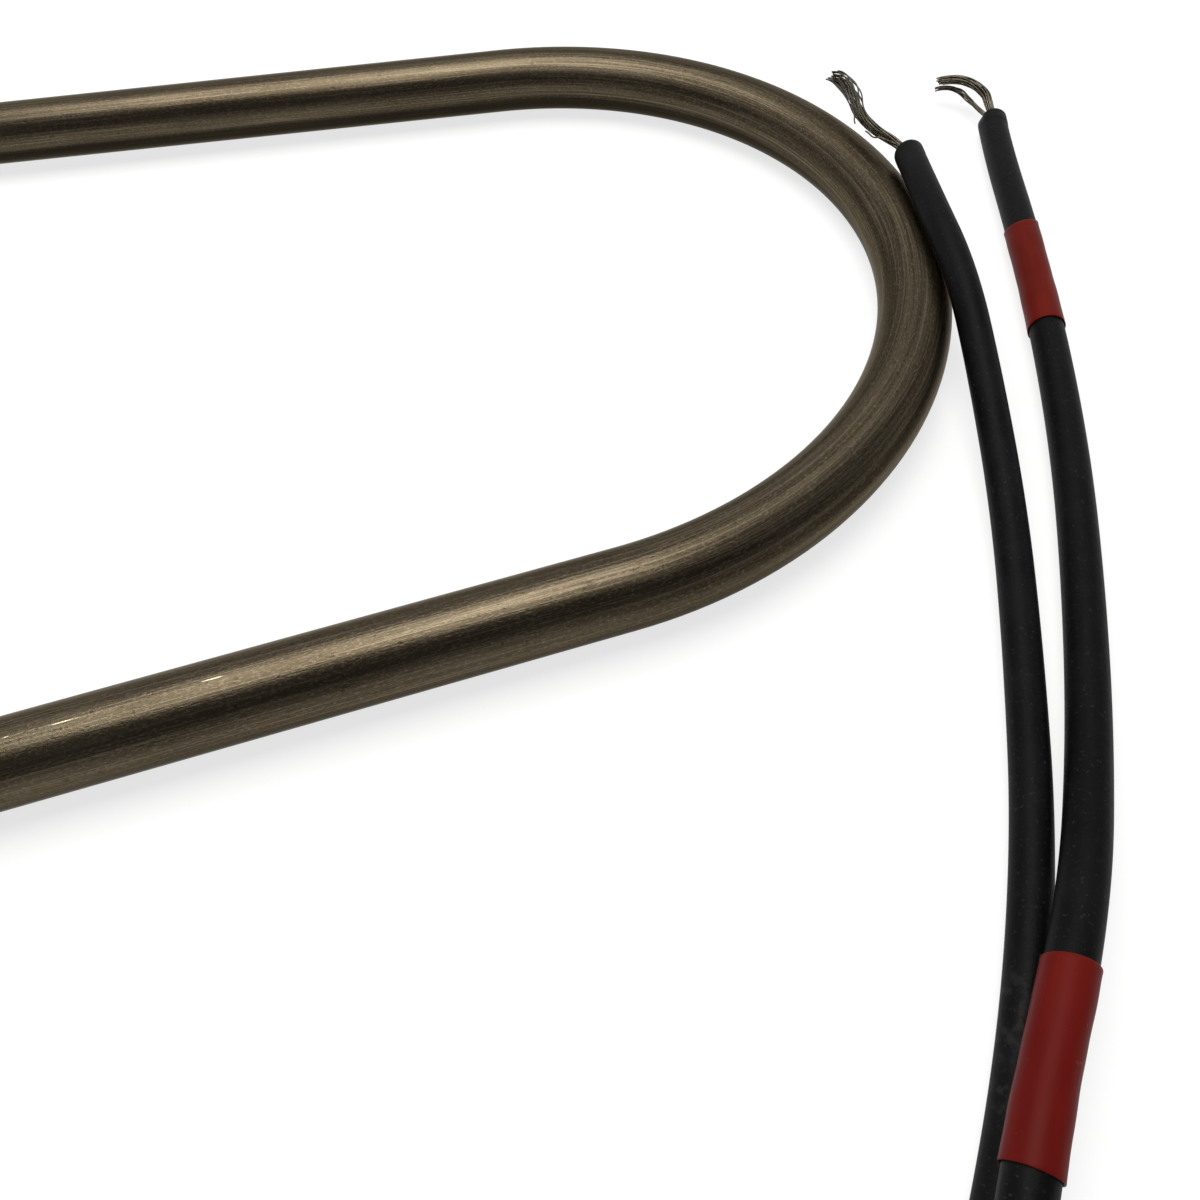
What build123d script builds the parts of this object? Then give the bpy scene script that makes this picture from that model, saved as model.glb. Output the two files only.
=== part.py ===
"""Tubular heating element: a hairpin of metal-sheathed heater with two moulded
rubber ends and two bare-ended leads, lying on a flat surface.

Units are millimetres and degrees.  Z is up and z = 0 is the surface.  The origin
is under the middle of the element, X runs along the hairpin towards its bend and
Y runs across it.  "far" names the leg at +Y and "near" the leg at -Y.
"""
import math
import os

from build123d import *

os.makedirs("parts", exist_ok=True)

# ---- driving dimensions ----------------------------------------------------
# hairpin
overall_length = 332.5      # outside of the bend to the end of the rubber boots
bend_radius = 50.0          # to the middle of the sheath
leg_spread = 6.0            # how far each leg leans out from the long axis
tube_diameter = 8.5
tube_wall = 0.7
sheath_chamfer = 0.25       # broken outer edge at each cut end

# heater inside the sheath
coil_outer = 3.4            # outside of the resistance winding
coil_wire = 0.35            # wall of the winding's envelope
coil_on_pin = 8.0           # length of winding wound on each terminal pin

# terminal end
pin_diameter = 2.5
pin_inside = 38.0           # cold pin inside the sheath
pin_outside = 8.0           # free end of the pin beyond the sheath
pin_chamfer = 0.4
bead_length = 5.0           # ceramic bead that closes the powder
bead_chamfer = 0.4
seal_depth = 3.0            # resin poured on the bead, flush with the sheath
crimp_length = 14.0
crimp_wall = 0.8
crimp_on_pin = 6.0          # pin inside the crimp splice
crimp_groove = 0.3          # depth of each pressed groove
crimp_groove_width = 1.6

# rubber boot
boot_diameter = 11.8        # raised bands
boot_body_diameter = 11.0
boot_grip = 24.0            # boot over the sheath
boot_reach = 36.0           # boot beyond the sheath
boot_lip_diameter = 9.9
boot_lip = 3.0              # taper from the lip to the first band
boot_band = 4.0             # length of one raised band
boot_shoulder = 19.0        # start of the taper, from the sheath's end
boot_nose_diameter = 6.8
boot_mouth = 0.5            # flare of the lead's hole at the nose
relief_grooves = 3
relief_groove_depth = 0.55
relief_groove_width = 1.4
relief_first = 4.6          # first groove, back from the nose
relief_pitch = 3.2
boot_round = 0.5

# leads
near_lead_diameter = 3.6
far_lead_diameter = 3.9
core_diameter = 1.7         # bundle of tinned strands, across its six corners
jacket_grip = 16.0          # lead inside the boot
core_strip = 8.0            # jacket stripped off before the crimp splice
cut_back = 1.5              # packed core ends this far inside the cut jacket
lead_straight = 14.0        # lead runs straight this far beyond the boot
arc_share = 0.45            # part of a run that each of its two arcs may take

# bare strands, packed as 1 + 6 + 12 in the conductor
strand_diameter = 0.24
strand_pitch = 0.3          # from one ring of strands to the next
strand_rings = 2
strands_in_first_ring = 6
strand_twist = 20.0         # turn of the bundle from one point to the next
strand_fray = 0.35          # how fast the rings open beyond the first bend
strand_ease = 0.9           # of the largest arc that fits each corner of a strand
strand_uneven = 0.25        # part of the last run by which some strands are short

# marker sleeves on the far lead, measured back from its bare end
sleeve_wall = 0.3
end_sleeve_start = 27.5
end_sleeve_length = 19.5
low_sleeve_start = 123.5
low_sleeve_length = 16.0

# clearances
fit_gap = 0.05              # radial, between nested round pieces
seat_gap = 0.05             # along the axis, between seated faces
sleeve_gap = 0.05           # radial, between a sleeve and its lead

# free points of each lead, from the boot to the bare end
near_route = [
    (-209, -86.5, 2.8), (-231, -101, 1.8), (-230, -125, 1.8), (-206, -139, 1.8),
    (-164, -143, 1.8), (-108, -139.5, 1.8), (-52, -134, 1.8), (4, -134.5, 1.8),
    (60, -137.5, 1.8), (98, -134, 1.8), (123, -118.5, 1.8), (135.8, -100.5, 1.8),
    (145.3, -82.5, 1.8), (152.5, -64, 1.8), (158, -47.5, 2.6), (161.5, -31.5, 5.4),
    (163.4, -18, 9.1), (164, -4.8, 10.4), (166, 8.2, 9.6),
]
far_route = [
    (-212, 80, 2.9), (-240, 68, 1.95), (-257, 41, 1.95), (-262, 1, 1.95),
    (-262, -43, 1.95), (-259, -86, 1.95), (-246, -120, 1.95), (-219, -143, 1.95),
    (-180, -153, 1.95), (-128, -152, 1.95), (-72, -146, 1.95), (-14, -147, 1.95),
    (42, -151, 1.95), (86, -148, 1.95), (115, -133, 2.6), (126, -117.5, 5.4),
    (134.8, -102.5, 6.2), (145.8, -88, 5.3), (154, -74, 2.4), (160.8, -59, 1.95),
    (167.3, -42.5, 2.05), (173.2, -24, 2.4), (178.5, -4.5, 2.4),
    (182.8, 12.5, 2.05), (186.2, 23.8, 1.95),
]
# middle line of each bundle of bare strands, beyond the lead's cut end
near_strands = [
    (164.4, 12.6, 9.9), (162.6, 16.2, 10.2), (163.0, 19.9, 10.6), (162.5, 23.2, 11.0), (160.9, 25.0, 10.9),
]
far_strands = [(186.3, 26.8, 2.7), (185.3, 29.3, 3.2), (183.3, 31.0, 3.2), (181.0, 32.2, 2.7)]

# ---- worked out ------------------------------------------------------------
tube_radius = tube_diameter / 2
tube_bore = tube_diameter - 2 * tube_wall
boot_radius = boot_diameter / 2
nose_radius = boot_nose_diameter / 2
crimp_diameter = pin_diameter + 2 * (fit_gap + crimp_wall)
spread = math.radians(leg_spread)
bend_x = overall_length / 2 - bend_radius - tube_radius
# each leg is as long as the overall length leaves room for
leg_run = overall_length / 2 + bend_x + bend_radius * math.sin(spread) - nose_radius * math.sin(spread)
leg_length = leg_run / math.cos(spread) - boot_reach
# the first band of the boots carries the legs, so the hairpin lies at a slight tilt
band_start = leg_length - boot_grip + boot_lip
carry_span = bend_radius + band_start * math.cos(spread) - bend_radius * math.sin(spread)
tilt = math.asin((boot_radius - tube_radius) / carry_span)
bend_height = tube_radius + bend_radius * math.sin(tilt)
lie = Plane(
    origin=(bend_x, 0, bend_height),
    x_dir=(math.cos(tilt), 0, -math.sin(tilt)),
    z_dir=(math.sin(tilt), 0, math.cos(tilt)),
)
bead_start = -seal_depth - bead_length


def leg_plane(side):
    """Plane at a leg's cut end: its X points out of the sheath, along the leg."""
    end = Vector(
        bend_radius * math.sin(spread) - leg_length * math.cos(spread),
        side * (bend_radius * math.cos(spread) + leg_length * math.sin(spread)),
        0,
    )
    ahead = end + Vector(-math.cos(spread), side * math.sin(spread), 0)
    origin = lie.from_local_coords(end)
    direction = lie.from_local_coords(ahead) - origin
    return Plane(origin=origin, x_dir=direction, z_dir=lie.z_dir)


def hairpin_path(back):
    """Middle line of the heater, stopping short of both cut ends by `back`."""
    run = leg_length - back
    with BuildLine(lie) as path:
        bend_end = (bend_radius * math.sin(spread), bend_radius * math.cos(spread))
        leg_end = (
            bend_end[0] - run * math.cos(spread),
            bend_end[1] + run * math.sin(spread),
        )
        Line(leg_end, bend_end)
        CenterArc((0, 0), bend_radius, 90 - leg_spread, 2 * leg_spread - 180)
        Line((bend_end[0], -bend_end[1]), (leg_end[0], -leg_end[1]))
    return path.wires()[0]


def across(path, at=0.0):
    """Plane across a path at parameter `at`."""
    return Plane(origin=path @ at, z_dir=path % at)


def turn_radii(points):
    """Largest even arc for each corner of a route, and the turn in degrees."""
    corners = []
    for before, corner, after in zip(points, points[1:], points[2:]):
        run_in = corner - before
        run_out = after - corner
        turn = run_in.get_angle(run_out)
        reach = arc_share * min(run_in.length, run_out.length)
        corners.append((reach / math.tan(math.radians(turn) / 2), turn))
    return corners


def lead_points(leg, route, start):
    """Route of one lead: `start` along the leg, straight out, then the free points."""
    inside = leg.from_local_coords(Vector(start, 0, 0))
    outside = leg.from_local_coords(Vector(boot_reach + lead_straight, 0, 0))
    return [inside, outside] + [Vector(*point) for point in route]


def lead_path(points, radii):
    """Straight runs joined by tangent arcs through the points of a route."""
    with BuildLine() as path:
        FilletPolyline(*points, radius=radii)
    return path.wires()[0]


def span(path, start, length):
    """Stretch of a path that starts `start` before its end and runs back `length`."""
    first = path.position_at(path.length - start - length, position_mode=PositionMode.LENGTH)
    last = path.position_at(path.length - start, position_mode=PositionMode.LENGTH)
    return path.trim(first, last)


def save(part, name):
    """Label a finished piece and write it."""
    part.part.label = name
    export_step(part.part, f"parts/{name}.step")


# ---- sheath: one drawn tube bent into a hairpin ----------------------------
sheath_line = hairpin_path(0)
with BuildPart() as sheath_tube:
    with BuildSketch(across(sheath_line)):
        Circle(tube_radius)
        Circle(tube_bore / 2, mode=Mode.SUBTRACT)
    sweep(path=sheath_line)
    end_rims = [
        edge
        for edge in sheath_tube.edges().filter_by(GeomType.CIRCLE)
        if abs(edge.radius - tube_radius) < fit_gap
        and min((edge.arc_center - sheath_line @ end).length for end in (0, 1)) < fit_gap
    ]
    chamfer(end_rims, sheath_chamfer)
save(sheath_tube, "sheath_tube")

# ---- resistance winding: the envelope of its turns -------------------------
coil_line = hairpin_path(pin_inside - coil_on_pin)
coil_bore = coil_outer - 2 * coil_wire
with BuildPart() as resistance_coil:
    with BuildSketch(across(coil_line)):
        Circle(coil_outer / 2)
        Circle(coil_bore / 2, mode=Mode.SUBTRACT)
    sweep(path=coil_line)
save(resistance_coil, "resistance_coil")

# ---- packed magnesia: around the winding and the pins, and inside the winding
powder_line = hairpin_path(-bead_start + seat_gap)
coil_space = hairpin_path(pin_inside - coil_on_pin - seat_gap)
core_line = hairpin_path(pin_inside + seat_gap)
legs = {"far": leg_plane(1), "near": leg_plane(-1)}
with BuildPart() as magnesia_fill:
    with BuildSketch(across(powder_line)):
        Circle(tube_bore / 2 - fit_gap)
        Circle(pin_diameter / 2 + fit_gap, mode=Mode.SUBTRACT)
    sweep(path=powder_line)
    with BuildSketch(across(coil_space)):
        Circle(coil_outer / 2 + fit_gap)
    sweep(path=coil_space, mode=Mode.SUBTRACT)
    with BuildSketch(across(core_line)):
        Circle(coil_bore / 2 - fit_gap)
    sweep(path=core_line)
save(magnesia_fill, "magnesia_fill")

# ---- the two terminal ends --------------------------------------------------
crimp_start = pin_outside - crimp_on_pin
crimp_end = crimp_start + crimp_length
jacket_start = boot_reach - jacket_grip
lead_diameters = {"far": far_lead_diameter, "near": near_lead_diameter}
core_radius = core_diameter / 2

for side, leg in legs.items():
    leg_axis = Axis(leg.origin, leg.x_dir)
    lead_radius = lead_diameters[side] / 2

    with BuildPart() as terminal_pin:
        with BuildSketch(leg):
            with Locations((-pin_inside, 0)):
                Rectangle(pin_inside + pin_outside, pin_diameter / 2, align=(Align.MIN, Align.MIN))
        revolve(axis=leg_axis)
        chamfer(terminal_pin.edges().filter_by(GeomType.CIRCLE), pin_chamfer)
    save(terminal_pin, f"terminal_pin_{side}")

    with BuildPart() as ceramic_bead:
        with BuildSketch(leg) as bead_half:
            with Locations((bead_start, pin_diameter / 2 + fit_gap)):
                Rectangle(
                    bead_length,
                    tube_bore / 2 - pin_diameter / 2 - 2 * fit_gap,
                    align=(Align.MIN, Align.MIN),
                )
        revolve(axis=leg_axis)
        bead_rims = ceramic_bead.edges().filter_by(GeomType.CIRCLE).sort_by(SortBy.RADIUS)[-2:]
        chamfer(bead_rims, bead_chamfer)
    save(ceramic_bead, f"ceramic_bead_{side}")

    with BuildPart() as resin_seal:
        with BuildSketch(leg):
            with BuildLine():
                inner = pin_diameter / 2 + fit_gap
                outer = tube_bore / 2 - fit_gap
                floor = -seal_depth + seat_gap
                Polyline((0, inner), (floor, inner), (floor, outer), (0, outer))
                # the resin sags to a shallow dish as it sets
                ThreePointArc((0, outer), (-bead_chamfer, (inner + outer) / 2), (0, inner))
            make_face()
        revolve(axis=leg_axis)
    save(resin_seal, f"resin_seal_{side}")

    with BuildPart() as crimp_splice:
        with BuildSketch(leg):
            with BuildLine():
                pin_hole = pin_diameter / 2 + fit_gap
                core_hole = core_radius + fit_gap
                step = pin_outside + seat_gap
                barrel = crimp_diameter / 2
                Polyline(
                    (crimp_start, pin_hole), (step, pin_hole), (step, core_hole),
                    (crimp_end, core_hole), (crimp_end, barrel), (crimp_start, barrel),
                    close=True,
                )
            make_face()
            # two pressed grooves, one over the pin and one over the core
            with Locations(
                (crimp_start + crimp_on_pin / 2, barrel),
                ((step + crimp_end) / 2, barrel),
            ):
                Rectangle(crimp_groove_width, 2 * crimp_groove, mode=Mode.SUBTRACT)
        revolve(axis=leg_axis)
    save(crimp_splice, f"crimp_splice_{side}")

    with BuildPart() as boot:
        with BuildSketch(leg) as boot_half:
            with BuildLine():
                sheath_hole = tube_radius + fit_gap
                barrel_hole = crimp_diameter / 2 + fit_gap
                core_hole = core_radius + fit_gap
                lead_hole = lead_radius + fit_gap
                body = boot_body_diameter / 2
                lip_end = boot_lip - boot_grip
                Polyline(
                    (-boot_grip, sheath_hole), (-boot_grip, boot_lip_diameter / 2),
                    (lip_end, boot_radius), (lip_end + boot_band, boot_radius),
                    (lip_end + 1.5 * boot_band, body),
                    (boot_shoulder - 1.5 * boot_band, body),
                    (boot_shoulder - boot_band, boot_radius),
                    (boot_shoulder, boot_radius),
                    (boot_reach, nose_radius), (boot_reach, lead_hole + boot_mouth),
                    (boot_reach - boot_mouth, lead_hole), (jacket_start - seat_gap, lead_hole),
                    (jacket_start - seat_gap, core_hole), (crimp_end + seat_gap, core_hole),
                    (crimp_end + seat_gap, barrel_hole), (seat_gap, barrel_hole),
                    (seat_gap, sheath_hole),
                    close=True,
                )
            make_face()
            # strain-relief grooves round the taper
            fall = (boot_radius - nose_radius) / (boot_reach - boot_shoulder)
            for number in range(relief_grooves):
                back = relief_first + number * relief_pitch
                with Locations((boot_reach - back, nose_radius + fall * back)):
                    Rectangle(relief_groove_width, 2 * relief_groove_depth, mode=Mode.SUBTRACT)
        revolve(axis=leg_axis)
        shoulder_rims = [
            edge
            for edge in boot.edges().filter_by(GeomType.CIRCLE)
            if abs(edge.radius - boot_radius) < fit_gap
        ]
        fillet(shoulder_rims, boot_round)
    save(boot, f"boot_{side}")

# ---- leads: rubber jacket over a bundle of tinned strands -------------------
routes = {"far": far_route, "near": near_route}
lead_lines = {}
for side, leg in legs.items():
    lead_radius = lead_diameters[side] / 2
    points = lead_points(leg, routes[side], jacket_start)
    radii = [radius for radius, turn in turn_radii(points)]
    lead_lines[side] = lead_path(points, radii)
    line = lead_lines[side]

    with BuildPart() as lead_jacket:
        with BuildSketch(across(line)) as section:
            Circle(lead_radius)
            # the packed bundle leaves a six-sided bore in the rubber
            RegularPolygon(core_radius + fit_gap, 6, mode=Mode.SUBTRACT)
        sweep(path=line)
    save(lead_jacket, f"lead_jacket_{side}")
    print(f"lead_{side}: length {line.length:.1f} mm, volume over section x length "
          f"{lead_jacket.part.volume / (section.sketch.area * line.length):.4f}")
    for radius, turn in turn_radii(points):
        print(f"  radius {radius:.1f} mm ({radius / lead_diameters[side]:.1f} diameters), turn {turn:.1f}")

    core_points = lead_points(leg, routes[side], pin_outside + 2 * seat_gap)
    core_whole = lead_path(core_points, radii)
    core_line = span(core_whole, cut_back, core_whole.length - cut_back)
    with BuildPart() as lead_core:
        with BuildSketch(across(core_line)):
            RegularPolygon(core_radius, 6)
        sweep(path=core_line)
    save(lead_core, f"lead_core_{side}")

# ---- bare strands: they leave the cut jacket as a twisted bundle and fray apart
def strand_points(middle, ring, angle):
    """Route of one strand, laid in its ring round the middle line of the bundle."""
    points = []
    for step in range(len(middle)):
        ahead = (middle[min(step + 1, len(middle) - 1)] - middle[max(step - 1, 0)]).normalized()
        sideways = ahead.cross(Vector(0, 0, 1)).normalized()
        upwards = sideways.cross(ahead)
        turned = math.radians(angle + strand_twist * step)
        reach = ring * strand_pitch * (1 + strand_fray * max(0, step - 2))
        points.append(middle[step] + (sideways * math.cos(turned) + upwards * math.sin(turned)) * reach)
    return points


bundles = {"far": far_strands, "near": near_strands}
for side, free_points in bundles.items():
    line = lead_lines[side]
    along = (line % 1).normalized()
    inside = line @ 1 - along * (cut_back - seat_gap)
    middle = [inside, line @ 1 + along] + [Vector(*point) for point in free_points]
    with BuildPart() as bare_strands:
        for ring in range(strand_rings + 1):
            count = max(1, strands_in_first_ring * ring)
            for number in range(count):
                points = strand_points(middle, ring, 360 / count * number)
                # the strands end unevenly
                short = strand_uneven * (number % 3)
                points[-1] = points[-1] + (points[-2] - points[-1]) * short
                arcs = [radius * strand_ease for radius, turn in turn_radii(points)]
                strand = lead_path(points, arcs)
                with BuildSketch(across(strand)):
                    RegularPolygon(strand_diameter / 2, 6)
                sweep(path=strand)
    save(bare_strands, f"bare_strands_{side}")

# ---- marker sleeves, shrunk loosely on the far lead -------------------------
sleeves = {
    "marker_sleeve_end": (end_sleeve_start, end_sleeve_length),
    "marker_sleeve_low": (low_sleeve_start, low_sleeve_length),
}
for name, (start, length) in sleeves.items():
    sleeve_line = span(lead_lines["far"], start, length)
    inner = far_lead_diameter / 2 + sleeve_gap
    with BuildPart() as marker_sleeve:
        with BuildSketch(across(sleeve_line)):
            Circle(inner + sleeve_wall)
            Circle(inner, mode=Mode.SUBTRACT)
        sweep(path=sleeve_line)
    save(marker_sleeve, name)
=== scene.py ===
"""Tubular heating element with its two leads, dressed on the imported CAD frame.

The hairpin sheath and the frayed conductors are grown by geometry nodes, the leads are
smooth splines, and the cut rubber and shrink sleeves are turned profiles laid along them.
"""

import sys

import logging
import math
from collections.abc import Callable, Sequence
from dataclasses import dataclass
from enum import Enum
from functools import partial

import bpy
from mathutils import Matrix, Vector


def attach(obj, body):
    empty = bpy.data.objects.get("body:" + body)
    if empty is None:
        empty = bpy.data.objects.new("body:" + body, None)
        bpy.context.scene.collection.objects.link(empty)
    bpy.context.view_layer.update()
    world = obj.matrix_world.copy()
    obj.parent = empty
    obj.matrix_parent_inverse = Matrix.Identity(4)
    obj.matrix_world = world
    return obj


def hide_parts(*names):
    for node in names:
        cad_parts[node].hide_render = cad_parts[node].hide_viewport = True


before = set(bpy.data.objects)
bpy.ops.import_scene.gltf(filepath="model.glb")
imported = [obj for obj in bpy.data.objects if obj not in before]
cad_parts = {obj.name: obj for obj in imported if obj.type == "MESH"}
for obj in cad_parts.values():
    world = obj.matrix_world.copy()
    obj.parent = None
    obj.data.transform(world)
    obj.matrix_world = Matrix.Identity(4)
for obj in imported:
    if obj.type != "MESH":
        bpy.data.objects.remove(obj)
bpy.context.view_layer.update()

log = logging.getLogger("heater")
MM = 0.001
Point = tuple[float, float, float]
Tree, Node, Socket = bpy.types.NodeTree, bpy.types.Node, bpy.types.NodeSocket
Piece, Material = bpy.types.Object, bpy.types.Material

# common kinds of node, with the settings that they always have here
VECTOR = ("ShaderNodeVectorMath", {})
STEP = ("ShaderNodeMapRange", {"interpolation_type": "SMOOTHSTEP"})
MIX = ("ShaderNodeMix", {"data_type": "RGBA"})
XYZ = ("ShaderNodeCombineXYZ", {})
APART = ("ShaderNodeSeparateXYZ", {})


class Side(Enum):
    """The two legs of the hairpin."""

    FAR = "far"
    NEAR = "near"


# ---- small helpers ----
def linear(code: str) -> tuple[float, float, float, float]:
    """Turns an sRGB hex colour into Blender's linear RGBA.

    Args:
        code (str): Colour such as "#7d2418".

    Returns:
        tuple: Linear red, green, blue and an alpha of one.
    """
    parts = [int(code[i : i + 2], 16) / 255 for i in (1, 3, 5)]
    red, green, blue = (c / 12.92 if c <= 0.04045 else ((c + 0.055) / 1.055) ** 2.4 for c in parts)
    return red, green, blue, 1.0


def add(tree: Tree, kind: str | tuple[str, dict], *values: object, **settings: object) -> Socket | None:
    """Adds one node, sets its properties, and sets or links its inputs.

    Args:
        tree (Tree): Shader or geometry tree.
        kind (str | tuple): Node type, alone or with the settings that it always has. A
            word in capitals, such as "MULTIPLY", is a math node with that operation.
        *values: The name of the node's operation, a dict from input name to value, or
            values for the inputs in order. A value that is a socket is linked.
        **settings: Properties of the node, such as data_type="FLOAT".

    Returns:
        Socket | None: The first output in use; its node gives the others.
    """
    if isinstance(kind, str):
        kind = ("ShaderNodeMath", {"operation": kind}) if kind.isupper() else (kind, {})
    name, always = kind
    made = tree.nodes.new(name)
    settings = {**always, **settings}
    settings |= {"operation": value for value in values if isinstance(value, str)}
    for key, value in settings.items():
        setattr(made, key, value)
    in_order = [value for value in values if not isinstance(value, (str, dict))]
    pairs = list(zip((slot for slot in made.inputs if slot.enabled), in_order))
    for named in values:
        if isinstance(named, dict):
            pairs += [(made.inputs[key], value) for key, value in named.items()]
    for slot, value in pairs:
        if isinstance(value, Socket):
            tree.links.new(value, slot)
        else:
            slot.default_value = value
    return next((out for out in made.outputs if out.enabled), None)


def pattern(
    tree: Tree, coords: Socket, size_mm: float, detail: float = 3.0, stretch: Point = (1, 1, 1)
) -> Socket:
    """Random pattern whose features have a real size.

    Args:
        tree (Tree): Shader tree.
        coords (Socket): Coordinates in millimetres.
        size_mm (float): Size of one feature in millimetres.
        detail (float): Octaves of the noise.
        stretch (Point): How much longer a feature is along each axis.

    Returns:
        Socket: Value around one half.
    """
    place = add(tree, VECTOR, "MULTIPLY", coords, [1 / (size_mm * s) for s in stretch])
    sockets = {"Vector": place, "Scale": 1.0, "Detail": detail, "Roughness": 0.6}
    return add(tree, "ShaderNodeTexNoise", sockets).node.outputs["Fac"]


def placed(name: str, data: bpy.types.ID) -> Piece:
    """Makes an object of some data, links it to the scene and returns it."""
    made = bpy.data.objects.new(name, data)
    bpy.context.scene.collection.objects.link(made)
    return made


class Coords(Enum):
    """Where a material's pattern takes its place from, always in millimetres."""

    LAID = "laid"
    OBJECT = "object"

    def socket(self, tree: Tree) -> Socket:
        """Adds the nodes that give the coordinates.

        Args:
            tree (Tree): Shader tree.

        Returns:
            Socket: Coordinates in millimetres.
        """
        if self is Coords.LAID:
            return add(tree, "ShaderNodeAttribute", attribute_name="laid").node.outputs["Vector"]
        place = add(tree, "ShaderNodeTexCoord").node.outputs["Object"]
        return add(tree, VECTOR, "SCALE", place, 1 / MM)


# ---- finishes ----
@dataclass(frozen=True)
class Finish:
    """What every finish has: its slot, two tones and how rough it is."""

    slot: str
    colour: str
    second: str
    roughness: float
    coords: Coords = Coords.OBJECT

    def material(self) -> Material:
        """Builds the procedural material of this finish.

        Returns:
            Material: A new material with its node tree.
        """
        made = bpy.data.materials.new(self.slot + "_finish")
        made.use_nodes = True
        tree = made.node_tree
        self.dress(tree, tree.nodes["Principled BSDF"], self.coords.socket(tree))
        return made

    def dress(self, tree: Tree, shader: Node, coords: Socket) -> None:
        """Links the patterns of this finish to the shader.

        Args:
            tree (Tree): Tree of the material.
            shader (Node): Its Principled shader.
            coords (Socket): Coordinates in millimetres.
        """
        raise NotImplementedError

    def tones(self, tree: Tree, share: Socket, low: float, high: float) -> Socket:
        """The two tones of this finish, mixed by a pattern: low gives the first, high the second."""
        return add(tree, MIX, add(tree, STEP, share, low, high), linear(self.colour), linear(self.second))

    @staticmethod
    def bump(
        tree: Tree, shader: Node, height: Socket, depth_mm: float, before: Socket | None = None
    ) -> Socket:
        """Adds one layer of bump.

        Args:
            tree (Tree): Tree of the material.
            shader (Node): Shader that takes the normal.
            height (Socket): Height from zero to one.
            depth_mm (float): Real depth of the relief in millimetres.
            before (Socket | None): Normal of a layer below this one.

        Returns:
            Socket: The bumped normal.
        """
        sockets = {"Height": height, "Distance": depth_mm * MM, "Strength": 1.0}
        if before is not None:
            sockets["Normal"] = before
        normal = add(tree, "ShaderNodeBump", sockets)
        tree.links.new(normal, shader.inputs["Normal"])
        return normal


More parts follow.
